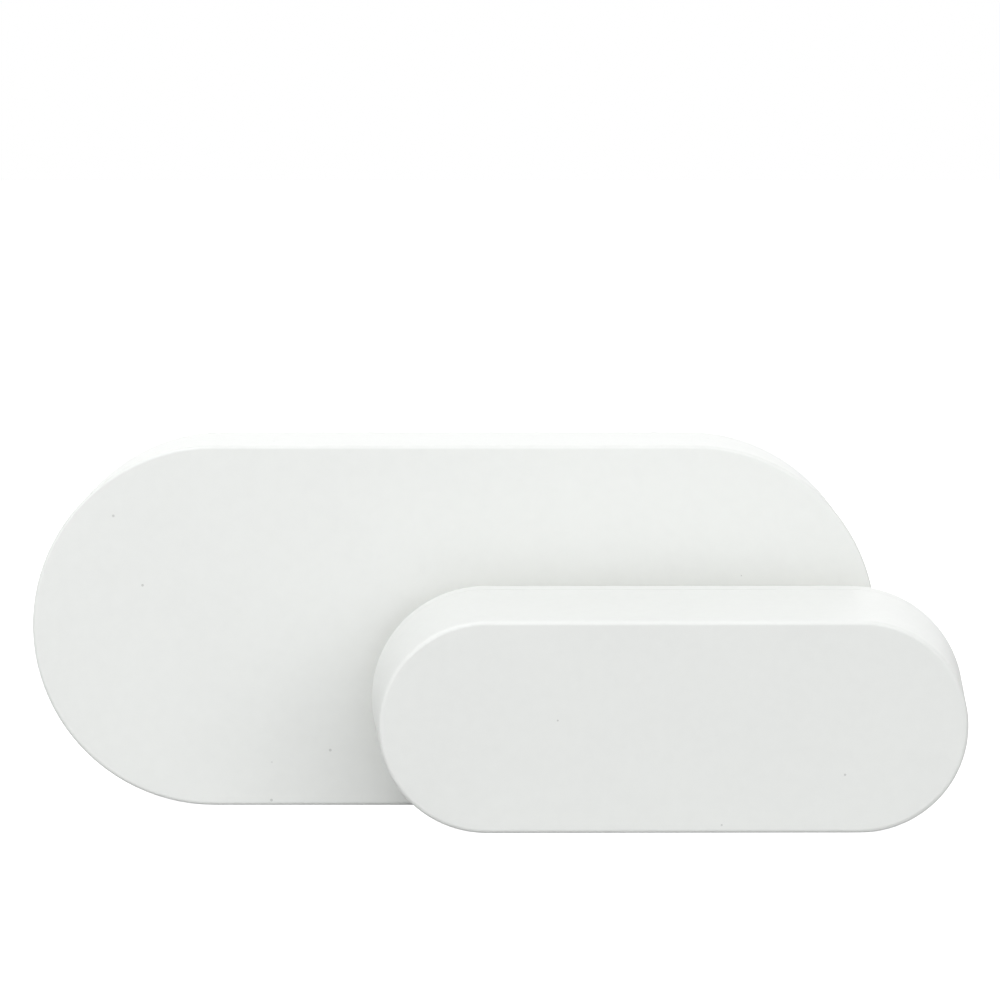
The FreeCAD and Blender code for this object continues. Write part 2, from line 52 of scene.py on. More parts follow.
# sizes of the hidden parts that a node's own box doesn't give, in millimetres
BAY_HALF_LENGTH = 25.2
BAY_FLOOR = 4.5
CELL_RADIUS = 5.25
CELL_DEPTH = 9.95                    # depth of the cells' axes
CELL_NUB_HEIGHT = 1.2
CELL_NUB_RADIUS = 1.9
CONTACT_THICKNESS = 0.4
TAB_HALF_WIDTH = 1.0
TAB_DROP = 0.7                       # from a contact plate's front edge to the front of its tab
SPRING_BASE_RADIUS = 3.4
SPRING_TIP_RADIUS = 2.0
SPRING_WIRE = 0.5
SCREW_HEAD_HEIGHT = 1.0
SCREW_SHANK_RADIUS = 0.75
SCREW_THREAD_DEPTH = 0.2
SCREW_RECESS_DEPTH = 0.5
TAPE_HOLE_RADIUS = 3.2
SWITCH_COVER = 0.25                  # sheet over a push switch
SWITCH_BORE_RADIUS = 1.15
SWITCH_BORE_DEPTH = 1.0
RADIO_EDGE_PADS = 11                 # on each long edge of the radio board
RELIEF = 0.1                         # height of the marks on the bay's floor
RING_RELIEF = 0.05                   # height of an ejector pin's ring
SCREW_THREAD_PITCH = 0.62
LINER = 0.1                          # release paper on the mounting tapes
LINER_CUT = 0.12                     # from the middle of the cut between a liner's halves to each half
RIM_HEIGHT = 1.6                     # rim of a back plate, in front of the plate
MAGNET_FRONT_HEIGHT = 17.2
MAGNET_WALL = 1.4
MAGNET_SLOPE = 0.8 / 13.5
MAGNET_TAPE_BACK = 13.9              # back of the magnet unit's tape behind its face

NOISE_LOW, NOISE_HIGH = 0.3, 0.7     # the usual spread of a noise texture's values


# ---------------- frames of the two units
def mount_named(name):
    """A mount of the record."""
    return next(m for m in frame["record"]["mounts"] if m["name"] == name)


def sensor_frame():
    """Sensor unit: X along it, Y from its face backwards, Z from the pill's middle, in metres."""
    low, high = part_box("front_cover")
    return Matrix.Translation(((low.x + high.x) / 2, low.y, (low.z + high.z) / 2))


def magnet_frame():
    """Magnet unit: it leans and turns a little, as the mount on its back says."""
    mount = mount_named("magnet_tape_face")
    backwards = Vector(mount["axis"]).normalized()
    along = backwards.cross(Vector((0, 0, 1))).normalized()
    up = along.cross(backwards)
    turn = Matrix((along, backwards, up)).transposed().to_4x4()
    forwards = Matrix.Translation((0, -MAGNET_TAPE_BACK * MM, 0))
    return Matrix.Translation(Vector(mount["pos_m"])) @ turn @ forwards


SENSOR = sensor_frame()
MAGNET = magnet_frame()


# ---------------- materials
def add_node(tree, kind, inputs=(), **settings):
    """A node with its settings, and with a link or a constant on each named or numbered input."""
    made = tree.nodes.new(kind)
    for key, value in settings.items():
        setattr(made, key, value)
    for key, value in dict(inputs).items():
        if isinstance(value, bpy.types.NodeSocket):
            tree.links.new(value, made.inputs[key])
        else:
            made.inputs[key].default_value = value
    return made


class Surface:
    """A material with one Principled shader, and short ways to add nodes to it."""

    def __init__(self, name, **constants):
        self.material = bpy.data.materials.new(name)
        self.material.use_nodes = True
        self.tree = self.material.node_tree
        self.shader = self.tree.nodes["Principled BSDF"]
        for socket, value in constants.items():
            self.shader.inputs[socket.replace("_", " ")].default_value = value
        self.place = self.node("ShaderNodeTexCoord").outputs["Object"]

    def node(self, kind, inputs=(), **settings):
        return add_node(self.tree, kind, inputs, **settings)

    def noise(self, size, detail=2.0, roughness=0.5, where=None):
        """Noise whose features are about size metres across."""
        inputs = {"Vector": where or self.place, "Scale": 1 / size,
                  "Detail": detail, "Roughness": roughness}
        return self.node("ShaderNodeTexNoise", inputs).outputs["Fac"]

    def ranged(self, value, low, high, start=0.0, end=1.0):
        inputs = {"Value": value, "From Min": start, "From Max": end, "To Min": low, "To Max": high}
        return self.node("ShaderNodeMapRange", inputs).outputs["Result"]

    def math(self, operation, a, b=0.0):
        return self.node("ShaderNodeMath", {0: a, 1: b}, operation=operation).outputs[0]

    def mixed(self, factor, a, b):
        """Colour a where factor is 0 and b where it is 1."""
        return self.node("ShaderNodeMix", {0: factor, 6: a, 7: b}, data_type="RGBA").outputs[2]

    def uneven(self, noise, low, high):
        """A value from low to high over the usual spread of noise."""
        return self.ranged(noise, low, high, NOISE_LOW, NOISE_HIGH)

    def shades(self, value, *colours):
        """Colour between the given colours over the usual spread of noise."""
        ramp = self.node("ShaderNodeValToRGB", {"Fac": value})
        stops = ramp.color_ramp.elements
        while len(stops) < len(colours):
            stops.new(0.5)
        for i, colour in enumerate(colours):
            stops[i].position = NOISE_LOW + (NOISE_HIGH - NOISE_LOW) * i / (len(colours) - 1)
            stops[i].color = colour
        return ramp.outputs["Color"]

    def bumps(self, *layers):
        """Bump layers, each (height value, height in metres), added on each other."""
        normal = None
        for height, metres in layers:
            inputs = {"Height": height, "Distance": metres, "Strength": 1.0}
            if normal is not None:
                inputs["Normal"] = normal
            normal = self.node("ShaderNodeBump", inputs).outputs["Normal"]
        self.link(normal, "Normal")

    def link(self, value, socket):
        self.tree.links.new(value, self.shader.inputs[socket])


def rgba(r, g, b):
    return (r, g, b, 1.0)


WHITE = rgba(1.0, 1.0, 1.0)


def scaled(colour, k):
    return rgba(*[c * k for c in colour[:3]])


def moulded_plastic(name, colour, roughness, grain=5e-6, dust=True):
    """Spark-eroded moulded plastic: fine grain, faint flow mottling and a little dust."""
    s = Surface(name, IOR=1.46)
    mottle = s.noise(0.9 * MM, 3)
    cloud = s.noise(11 * MM, 2)
    tone = s.math("ADD", s.math("MULTIPLY", mottle, 0.5), s.math("MULTIPLY", cloud, 0.5))
    base = s.shades(tone, scaled(colour, 0.985), colour, scaled(colour, 1.012))
    if dust:
        cells = s.node("ShaderNodeTexVoronoi", {"Vector": s.place, "Scale": 1 / (2.6 * MM)})
        chosen = s.node("ShaderNodeSeparateColor", {"Color": cells.outputs["Color"]})
        size = s.ranged(chosen.outputs["Green"], 0.018, 0.05)
        near = s.math("LESS_THAN", cells.outputs["Distance"], size)
        rare = s.math("GREATER_THAN", chosen.outputs["Red"], 0.66)
        base = s.mixed(s.math("MULTIPLY", near, rare), base, scaled(colour, 0.76))
    s.link(base, "Base Color")
    s.link(s.uneven(s.noise(0.5 * MM, 3), roughness - 0.06, roughness + 0.06), "Roughness")
    s.bumps((s.noise(0.22 * MM, 3, 0.6), grain), (s.noise(2.4 * MM, 1), grain * 3))
    return s.material


def soft_noise_colour(s, colour, size, spread=0.03):
    """Slight tone variation about a colour, with patches of the given size."""
    return s.shades(s.noise(size, 3), scaled(colour, 1 - spread), colour, scaled(colour, 1 + spread))


def worn_metal(name, colour, roughness, patch=0.8, scratch=0.12, **constants):
    """Plated metal: uneven polish, faint blotches and fine drawn scratches."""
    s = Surface(name, Metallic=1.0, **constants)
    blotch = s.noise(patch * MM, 4, 0.6)
    s.link(s.shades(blotch, scaled(colour, 0.86), colour, scaled(colour, 1.05)), "Base Color")
    stretched = s.node("ShaderNodeMapping", {"Vector": s.place, "Scale": (0.12, 1.0, 1.0)}).outputs[0]
    lines = s.noise(scratch * MM, 3, 0.7, stretched)
    s.link(s.uneven(lines, roughness - 0.08, roughness + 0.12), "Roughness")
    s.bumps((lines, 1.5e-6), (blotch, 4e-6))
    return s.material


def solder_mask(name, colour, copper, pitch):
    """Circuit board: lacquer over copper tracks that run in straight lanes, with plated holes."""
    s = Surface(name, Roughness=0.32, IOR=1.5, Coat_Weight=0.4, Coat_Roughness=0.2)
    upright = s.node("ShaderNodeMapping", {"Vector": s.place, "Rotation": (math.radians(90), 0, 0)})
    lanes = s.node("ShaderNodeTexBrick", {
        "Vector": upright.outputs[0],
        "Scale": 1.0, "Brick Width": pitch * 5 * MM, "Row Height": pitch * MM,
        "Mortar Size": pitch * 0.17 * MM, "Mortar Smooth": 0.3,
    }, offset=0.37, offset_frequency=3).outputs["Fac"]
    pour = s.ranged(s.noise(9 * MM, 1), 0.0, 0.75, 0.47, 0.475)
    routed = s.ranged(s.noise(5 * MM, 0), 0.0, 0.85, 0.4, 0.405)
    track = s.math("MAXIMUM", s.math("MULTIPLY", lanes, routed), pour)
    s.link(s.mixed(track, soft_noise_colour(s, colour, 1.2 * MM, 0.08), copper), "Base Color")
    s.bumps((track, 2.5e-5), (s.noise(0.3 * MM, 2), 3e-6))
    return s.material


def cell_sleeve():
    """Printed sleeve of a cell, drawn along its X axis: a dark body, a pale band and + and - marks."""
    s = Surface("cell_sleeve", IOR=1.5, Coat_Weight=0.5, Coat_Roughness=0.12)
    axes = s.node("ShaderNodeSeparateXYZ", {"Vector": s.place}).outputs
    along = s.math("DIVIDE", axes["X"], MM)
    around = s.math("MULTIPLY", s.math("ARCTAN2", axes["Z"], axes["Y"]), CELL_RADIUS)
    body, band, line = rgba(0.035, 0.075, 0.095), rgba(0.62, 0.64, 0.63), rgba(0.42, 0.17, 0.05)

    def between(value, low, high):
        above = s.math("GREATER_THAN", value, low)
        return s.math("MULTIPLY", above, s.math("LESS_THAN", value, high))

    def bar(x, length, width):
        """A short bar about x, on the side of the cell that faces out of its bay."""
        on_x = between(along, x - length / 2, x + length / 2)
        return s.math("MULTIPLY", on_x, between(around, -width / 2, width / 2))

    ink = s.mixed(between(along, 33.6, 42.0), soft_noise_colour(s, body, 3 * MM, 0.08), band)
    ink = s.mixed(between(along, 32.4, 33.2), ink, line)
    ink = s.mixed(between(along, 2.6, 3.1), ink, line)
    plus = s.math("MAXIMUM", bar(37.8, 4.2, 1.0), bar(37.8, 1.0, 4.2))
    ink = s.mixed(plus, ink, body)
    ink = s.mixed(bar(7.0, 1.0, 4.2), ink, band)
    scuffs = s.noise(0.25 * MM, 5, 0.75)
    worn = s.ranged(scuffs, 0.0, 0.4, 0.68, 0.76)
    s.link(s.mixed(worn, ink, rgba(0.5, 0.5, 0.5)), "Base Color")
    s.link(s.uneven(s.noise(1.1 * MM, 4), 0.24, 0.4), "Roughness")
    s.bumps((s.noise(1.6 * MM, 2), 1.2e-5))
    return s.material


def foam(name, colour, cell, depth):
    """Foam: a mass of small open cells with a slightly uneven colour, and painted shade that darkens each
    pore's hollow.
    """
    s = Surface(name, Specular_IOR_Level=0.25, Sheen_Weight=0.2, Sheen_Roughness=0.6)
    cells = s.node("ShaderNodeTexVoronoi", {"Vector": s.place, "Scale": 1 / (cell * MM)})
    pores = cells.outputs["Distance"]
    walls = soft_noise_colour(s, colour, 1.5 * MM, 0.06)
    # painted shade: each pore is coloured darker towards its middle, where its hollow lies
    s.link(s.mixed(s.ranged(pores, 0.35, 0.0, 0.1, 0.5), walls, scaled(colour, 0.6)), "Base Color")
    s.link(s.ranged(s.noise(0.6 * MM, 2), 0.82, 0.95), "Roughness")
    s.bumps((pores, depth), (s.noise(1.4 * MM, 2), depth))
    return s.material


def release_paper():
    """Siliconised paper: warm white, faintly glossy, with fine fibres."""
    s = Surface("release_paper", IOR=1.45, Coat_Weight=0.25, Coat_Roughness=0.3)
    stretched = s.node("ShaderNodeMapping", {"Vector": s.place, "Scale": (0.35, 1.0, 1.6)}).outputs[0]
    fibres = s.noise(0.35 * MM, 4, 0.65, stretched)
    colour = rgba(0.74, 0.71, 0.62)
    s.link(s.shades(fibres, scaled(colour, 0.96), colour, scaled(colour, 1.03)), "Base Color")
    s.link(s.uneven(s.noise(1.5 * MM, 3), 0.36, 0.5), "Roughness")
    s.bumps((fibres, 4e-6), (s.noise(6 * MM, 1), 6e-5))
    return s.material


def clear_glass():
    """Drawn glass tube with a green cast and faint lengthwise streaks."""
    s = Surface("reed_glass", IOR=1.5, Transmission_Weight=1.0)
    stretched = s.node("ShaderNodeMapping", {"Vector": s.place, "Scale": (0.1, 1.0, 1.0)}).outputs[0]
    streaks = s.noise(0.4 * MM, 3, 0.6, stretched)
    s.link(s.shades(streaks, rgba(0.80, 0.92, 0.86), rgba(0.90, 0.97, 0.93)), "Base Color")
    s.link(s.ranged(streaks, 0.01, 0.06), "Roughness")
    s.bumps((streaks, 3e-6))
    return s.material


def moulded_epoxy(name, colour, roughness):
    """Black or brown component body: fine filler grain and a slight sheen."""
    s = Surface(name, IOR=1.52)
    grain = s.noise(0.05 * MM, 3, 0.7)
    s.link(s.shades(grain, scaled(colour, 0.8), colour, scaled(colour, 1.25)), "Base Color")
    s.link(s.uneven(s.noise(0.3 * MM, 3), roughness - 0.07, roughness + 0.07), "Roughness")
    s.bumps((grain, 3e-6), (s.noise(0.5 * MM, 1), 6e-6))
    return s.material


def lamp_phosphor():
    """Clear resin over yellow phosphor."""
    s = Surface("lamp_phosphor", IOR=1.5, Coat_Weight=0.6, Coat_Roughness=0.08, Subsurface_Weight=0.15)
    grains = s.noise(0.06 * MM, 3, 0.7)
    s.link(s.shades(grains, rgba(0.80, 0.66, 0.20), rgba(0.90, 0.78, 0.32)), "Base Color")
    s.link(s.ranged(grains, 0.25, 0.4), "Roughness")
    s.bumps((grains, 3e-6))
    return s.material


MATERIALS = {
    "casing": moulded_plastic("casing_plastic", rgba(0.862, 0.878, 0.86), 0.42),
    "chassis": moulded_plastic("chassis_plastic", rgba(0.60, 0.615, 0.62), 0.5, 9e-6),
    "button": moulded_plastic("button_plastic", rgba(0.27, 0.31, 0.34), 0.45, 6e-6),
    "switch": moulded_epoxy("switch_plastic", rgba(0.025, 0.026, 0.028), 0.42),
    "board": solder_mask("board_lacquer", rgba(0.012, 0.11, 0.045), rgba(0.03, 0.20, 0.085), 1.1),
    "radio_board": solder_mask("radio_board_lacquer", rgba(0.010, 0.028, 0.075),
                               rgba(0.02, 0.06, 0.14), 0.7),
    "contact": worn_metal("nickel_plate", rgba(0.76, 0.74, 0.68), 0.24),
    "spring": worn_metal("spring_wire", rgba(0.70, 0.69, 0.66), 0.2, 0.5),
    "solder": worn_metal("solder", rgba(0.62, 0.63, 0.64), 0.3, 0.35, 0.3),
    "screw": worn_metal("zinc_plate", rgba(0.60, 0.62, 0.65), 0.28, 0.6, 0.1),
    "shield": worn_metal("tinned_sheet", rgba(0.68, 0.68, 0.66), 0.3, 1.6, 0.2),
    "reed_metal": worn_metal("reed_alloy", rgba(0.56, 0.55, 0.52), 0.26, 0.7, 0.1),
    "crystal_can": worn_metal("crystal_can", rgba(0.72, 0.70, 0.66), 0.25, 0.9, 0.15),
    "magnet_metal": worn_metal("magnet_plate", rgba(0.68, 0.68, 0.69), 0.17, 2.2, 0.25),
    "cell": cell_sleeve(),
    # dark colour painted as the shade inside the cells' vent holes
    "vent_hole_shade": moulded_epoxy("vent_shadow", rgba(0.04, 0.04, 0.04), 0.6),
    "foam_tape": foam("tape_foam", rgba(0.60, 0.60, 0.58), 0.14, 2.5e-5),
    "foam_pad": foam("pad_foam", rgba(0.040, 0.041, 0.044), 0.32, 9e-5),
    "release_paper": release_paper(),
    "glass": clear_glass(),
    "chip": moulded_epoxy("chip_epoxy", rgba(0.022, 0.022, 0.024), 0.45),
    "shell_mark": moulded_epoxy("laser_mark", rgba(0.30, 0.30, 0.30), 0.6),
    "capacitor": moulded_epoxy("capacitor_ceramic", rgba(0.44, 0.30, 0.17), 0.4),
    "resistor": moulded_epoxy("resistor_glaze", rgba(0.03, 0.032, 0.04), 0.3),
    "ceramic": moulded_epoxy("white_ceramic", rgba(0.78, 0.75, 0.68), 0.38),
    "phosphor": lamp_phosphor(),
}


def paint(material, *names):
    """Gives CAD nodes one material."""
    for name in names:
        slots = nodes[name].data.materials
        slots.clear()
        slots.append(MATERIALS[material])


# ---------------- measuring the CAD nodes
def solids_of(node, unit):
    """Low and high corner of each separate solid of a CAD node, in millimetres in a unit's own frame."""
    bm = bmesh.new()
    bm.from_mesh(nodes[node].data)
    bm.transform(Matrix.Scale(1 / MM, 4) @ unit.inverted() @ nodes[node].matrix_world)
    bmesh.ops.remove_doubles(bm, verts=bm.verts, dist=1e-4)
    found, seen = [], set()
    for start in bm.verts:
        if start in seen:
            continue
        solid, edge = [], [start]
        seen.add(start)
        while edge:
            vert = edge.pop()
            solid.append(vert.co.copy())
            for near in (e.other_vert(vert) for e in vert.link_edges):
                if near not in seen:
                    seen.add(near)
                    edge.append(near)
        low = Vector([min(p[i] for p in solid) for i in range(3)])
        high = Vector([max(p[i] for p in solid) for i in range(3)])
        found.append((low, high))
    bm.free()
    return sorted(found, key=lambda pair: tuple(round(c, 3) for c in pair[0]))


def span_of(node, unit):
    """Low and high corner of a whole CAD node, in millimetres in a unit's own frame."""
    solids = solids_of(node, unit)
    low = Vector([min(s[0][i] for s in solids) for i in range(3)])
    high = Vector([max(s[1][i] for s in solids) for i in range(3)])
    return low, high


# ---------------- mesh building, in millimetres
def brick(size, centre, bevel=0.08, segments=2):
    """Box with rounded edges."""
    bm = bmesh.new()
    bmesh.ops.create_cube(bm, size=1.0)
    bm.transform(Matrix.Translation(centre) @ Matrix.Diagonal((*size, 1.0)))
    if bevel:
        bmesh.ops.bevel(bm, geom=bm.edges[:], offset=bevel, segments=segments, profile=0.5, affect="EDGES")
    return bm


def turned(profile, sides=64, closed=False, ripple=None):
    """Turns a profile of (distance along X, radius) pairs about the X axis."""
    bm = bmesh.new()
    rings = []
    for along, radius in profile:
        if radius == 0:
            rings.append([bm.verts.new((along, 0, 0))])
            continue
        ring = []
        for i in range(sides):
            angle = 2 * math.pi * i / sides
            r = radius + (ripple(along, angle) if ripple else 0.0)
            ring.append(bm.verts.new((along, r * math.cos(angle), r * math.sin(angle))))
        rings.append(ring)
    pairs = list(zip(rings, rings[1:]))
    if closed:
        pairs.append((rings[-1], rings[0]))
    for near, far in pairs:
        for i in range(sides):
            j = (i + 1) % sides
            corners = [near[i % len(near)], near[j % len(near)], far[j % len(far)], far[i % len(far)]]
            bm.faces.new(list(dict.fromkeys(corners)))
    bmesh.ops.recalc_face_normals(bm, faces=bm.faces)
    return bm


def wire(points, radius, sides=10):
    """Round wire along a list of points, with rounded ends."""
    bm = bmesh.new()
    rings = []
    side = None
    for i, point in enumerate(points):
        ahead = (points[min(i + 1, len(points) - 1)] - points[max(i - 1, 0)]).normalized()
        side = (ahead.orthogonal() if side is None else side - ahead * side.dot(ahead)).normalized()
        other = ahead.cross(side)
        ring = []
        for k in range(sides):
            angle = 2 * math.pi * k / sides
            ring.append(bm.verts.new(point + (side * math.cos(angle) + other * math.sin(angle)) * radius))
        rings.append(ring)
    for near, far in zip(rings, rings[1:]):
        for k in range(sides):
            m = (k + 1) % sides
            bm.faces.new((near[k], near[m], far[m], far[k]))
    for ring, nearer, point in ((rings[0], points[1], points[0]), (rings[-1], points[-2], points[-1])):
        tip = bm.verts.new(point + (point - nearer).normalized() * radius * 0.6)
        for k in range(sides):
            bm.faces.new((ring[k], ring[(k + 1) % sides], tip))
    bmesh.ops.recalc_face_normals(bm, faces=bm.faces)
    return bm


def pill_outline(length, height, steps=40):
    """Corner points of a pill shape, anticlockwise, as X, Z pairs."""
    radius = height / 2
    half = length / 2 - radius
    points = []
    for side, turn in ((half, -math.pi / 2), (-half, math.pi / 2)):
        for i in range(steps + 1):
            angle = turn + math.pi * i / steps
            points.append((side + radius * math.cos(angle), radius * math.sin(angle)))
    return points


def circle_outline(x, z, radius, steps=32):
    return [(x + radius * math.cos(2 * math.pi * i / steps), z + radius * math.sin(2 * math.pi * i / steps))
            for i in range(steps)]


def sheet_part(outlines, front, back, edge=0.03):
    """Flat part in the X-Z plane between two depths, with holes where outlines lie inside others."""
    curve = bpy.data.curves.new("outline", "CURVE")
    curve.dimensions = "2D"
    curve.fill_mode = "BOTH"
    for outline in outlines:
        spline = curve.splines.new("POLY")
        spline.points.add(len(outline) - 1)
        for point, (x, z) in zip(spline.points, outline):
            point.co = (x, z, 0, 1)
        spline.use_cyclic_u = True
    curve.bevel_depth = edge
    curve.bevel_resolution = 2
    curve.offset = -edge
    curve.extrude = (back - front) / 2 - edge
    holder = bpy.data.objects.new("outline", curve)
    mesh = bpy.data.meshes.new_from_object(holder)
    bpy.data.objects.remove(holder)
    bpy.data.curves.remove(curve)
    bm = bmesh.new()
    bm.from_mesh(mesh)
    bpy.data.meshes.remove(mesh)
    bmesh.ops.remove_doubles(bm, verts=bm.verts, dist=1e-4)
    stand = Matrix(((1, 0, 0, 0), (0, 0, -1, (front + back) / 2), (0, 1, 0, 0), (0, 0, 0, 1)))
    bm.transform(stand)
    bmesh.ops.recalc_face_normals(bm, faces=bm.faces)
    return bm


def carved(part, *cutters):
    """The part with the cutters' shapes taken out of it."""
    for cutter in cutters:
        holders = []
        for source in (part, cutter):
            mesh = bpy.data.meshes.new("carving")
            source.to_mesh(mesh)
            source.free()
            holders.append(bpy.data.objects.new("carving", mesh))
            scene.collection.objects.link(holders[-1])
        cut = holders[0].modifiers.new("cut", "BOOLEAN")
        cut.operation = "DIFFERENCE"
        cut.solver = "EXACT"
        cut.object = holders[1]
        evaluated = holders[0].evaluated_get(bpy.context.evaluated_depsgraph_get())
        result = bpy.data.meshes.new_from_object(evaluated)
        part = bmesh.new()
        part.from_mesh(result)
        bpy.data.meshes.remove(result)
        for holder in holders:
            mesh = holder.data
            bpy.data.objects.remove(holder)
            bpy.data.meshes.remove(mesh)
    return part


class Piece:
    """A piece drawn part by part in millimetres, in one unit's frame or about a place in it."""

    def __init__(self, unit, place=None):
        self.matrix = unit @ (Matrix.Translation(Vector(place) * MM) if place else Matrix())
        self.bm = bmesh.new()
        self.materials = []

    def add(self, part, material, place=None):
        """Adds a part's bmesh with the material of that name, and frees it."""
        if material not in self.materials:
            self.materials.append(material)
        for face in part.faces:
            face.material_index = self.materials.index(material)
        if place:
            part.transform(place)
        mesh = bpy.data.meshes.new("part")
        part.to_mesh(mesh)
        part.free()
        self.bm.from_mesh(mesh)
        bpy.data.meshes.remove(mesh)
        return self

    def build(self, name, body, replaces=(), turn=None, smooth_angle=35):
        """Makes the object, which rides on a body and may stand for CAD nodes."""
        self.bm.transform(Matrix.Scale(MM, 4))
        mesh = bpy.data.meshes.new(name)
        self.bm.to_mesh(mesh)
        self.bm.free()
        for material in self.materials:
            mesh.materials.append(MATERIALS[material])
        mesh.shade_smooth()
        mesh.set_sharp_from_angle(angle=math.radians(smooth_angle))
        made = bpy.data.objects.new(name, mesh)
        made.matrix_world = self.matrix @ (turn or Matrix())
        scene.collection.objects.link(made)
        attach(made, body)
        if replaces:
            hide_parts(*replaces)
        return made


def turn_about(axis, degrees):
    return Matrix.Rotation(math.radians(degrees), 4, axis)


ALONG_Y = turn_about("Z", 90)        # lays a turned part's X axis along Y, backwards


# ---------------- the cells and their contacts
def add_cell(name, node, side):
    """AAA cell: a steel can with a crimped base and a raised tip, in a sleeve folded over its ends."""
    low, high = span_of(node, SENSOR)
    length = high.x - low.x
    radius = (high.z - low.z) / 2
    can_radius = radius - 0.12
    shoulder = length - CELL_NUB_HEIGHT
    can = [
        (0.12, 0), (0.12, 2.5), (0.0, 2.9), (0.0, 3.7), (0.12, 3.95), (0.5, 4.05), (0.55, 4.25),
        (0.3, 4.45), (0.3, 4.75), (0.62, 5.02), (1.2, can_radius), (shoulder - 0.7, can_radius),
        (shoulder - 0.35, 5.05), (shoulder - 0.12, 4.8), (shoulder - 0.12, 4.35), (shoulder - 0.4, 4.15),
        (shoulder - 0.55, 3.9), (shoulder - 0.55, 2.9), (shoulder - 0.35, 2.35), (shoulder + 0.05, 2.0),
        (shoulder + 0.3, CELL_NUB_RADIUS), (length - 0.3, CELL_NUB_RADIUS), (length - 0.08, 1.76),
        (length, 1.45), (length, 0),
    ]
    sleeve = [
        (0.34, 4.5), (0.24, 4.7), (0.28, 4.98), (0.46, 5.18), (0.78, radius), (shoulder - 0.68, radius),
        (shoulder - 0.32, 5.18), (shoulder - 0.08, 4.98), (shoulder, 4.72), (shoulder - 0.04, 4.48),
        (shoulder - 0.1, 4.5), (shoulder - 0.12, 4.74), (shoulder - 0.2, 4.9),
        (shoulder - 0.7, radius - 0.11), (0.8, radius - 0.11), (0.42, 4.9), (0.36, 4.72), (0.4, 4.5),
    ]
    centre = (low + high) / 2
    cell = Piece(SENSOR, (centre.x - side * length / 2, centre.y, centre.z))
    cell.add(turned(can, 72), "contact")
    cell.add(turned(sleeve, 96, closed=True), "cell")
    # the vent holes are four thin dark discs: painted shade, not real holes
    for i in range(4):
        vent_hole_shade = turned([(0, 0), (0, 0.34), (0.06, 0.28), (0.06, 0)], 16)
        angle = math.radians(45 + 90 * i)
        spot = (shoulder - 0.57, 3.35 * math.cos(angle), 3.35 * math.sin(angle))
        cell.add(vent_hole_shade, "vent_hole_shade", Matrix.Translation(spot))
    turn = None if side > 0 else turn_about("Y", 180)
    return cell.build(name, "battery_pair", (node,), turn)


def contact_outline(half_width, bottom, top, corner=0.8):
    """Outline of a contact plate with rounded corners and its solder tab, across the bay and backwards."""
    tab_low = bottom - TAB_DROP
    points = [(-TAB_HALF_WIDTH, tab_low), (TAB_HALF_WIDTH, tab_low), (TAB_HALF_WIDTH, bottom)]
    for across, deep, start in ((1, bottom + corner, -90), (1, top - corner, 0),
                                (-1, top - corner, 90), (-1, bottom + corner, 180)):
        for i in range(7):
            angle = math.radians(start + 15 * i)
            x = across * (half_width - corner) + corner * math.cos(angle)
            points.append((x, deep + corner * math.sin(angle)))
    points.append((-TAB_HALF_WIDTH, bottom))
    return points


def contact_plate(piece, low, high, side):
    """Nickel-plated plate against an end wall of the bay."""
    thickness = CONTACT_THICKNESS
    outline = contact_outline((high.z - low.z) / 2, low.y + TAB_DROP, high.y)
    plate = sheet_part([outline], -thickness / 2, thickness / 2, 0.05)
    # the sheet's X runs across the bay and its Z runs backwards, so it stands against the end wall
    stand = Matrix(((0, 1, 0, side * (BAY_HALF_LENGTH - thickness / 2)), (0, 0, 1, 0),
                    (1, 0, 0, (low.z + high.z) / 2), (0, 0, 0, 1)))
    piece.add(plate, "contact", stand)


def add_plate_contacts():
    """Contacts for the cells' tips, each with a pressed dimple."""
    piece = Piece(SENSOR)
    for low, high in solids_of("battery_plate_contacts", SENSOR):
        side = 1 if low.x > 0 else -1
        contact_plate(piece, low, high, side)
        dimple = turned([(0, 0), (0, 1.9), (0.03, 1.75), (0.09, 1.3), (0.11, 0.8), (0.11, 0)], 40)
        face = side * (BAY_HALF_LENGTH - CONTACT_THICKNESS)
        spot = Matrix.Translation((face, CELL_DEPTH, (low.z + high.z) / 2))
        piece.add(dimple, "contact", spot @ turn_about("Z", 180 if side > 0 else 0))
    piece.build("battery_contacts_plate", "sensor_unit", ("battery_plate_contacts",))


def add_spring_contacts():
    """Contacts with a conical coil spring, held on its plate by two bent tabs."""
    for low, high in solids_of("battery_spring_contacts", SENSOR):
        side = 1 if low.x > 0 else -1
        piece = Piece(SENSOR)
        contact_plate(piece, low, high, side)
        base_x = BAY_HALF_LENGTH - CONTACT_THICKNESS
        tip_x = min(abs(low.x), abs(high.x))
        wire_radius = SPRING_WIRE / 2
        rise = base_x - tip_x - SPRING_WIRE
        turns, per_turn = 5.4, 36
        steps = int(turns * per_turn)
        points = []
        for i in range(steps + 1):
            t = i / steps
            flat = 0.85 / turns
            climb = min(max((t - flat) / (1 - 2 * flat), 0.0), 1.0)
            radius = SPRING_BASE_RADIUS - wire_radius - (SPRING_BASE_RADIUS - SPRING_TIP_RADIUS) * climb
            angle = 2 * math.pi * turns * t
            x = side * (base_x - wire_radius - rise * climb)
            points.append(Vector((x, radius * math.cos(angle), side * radius * math.sin(angle))))
        middle = Matrix.Translation((0, CELL_DEPTH, (low.z + high.z) / 2))
        piece.add(wire(points, wire_radius, 12), "spring", middle)
        for across in (-1, 1):
            tab = brick((0.62, 1.1, 1.0), (side * (base_x - 0.33), 0, across * 3.15), 0.14)
            piece.add(tab, "contact", middle)
        where = "upper" if low.z > 0 else "lower"
        piece.build(f"battery_spring_{where}", "sensor_unit", ("battery_spring_contacts",))


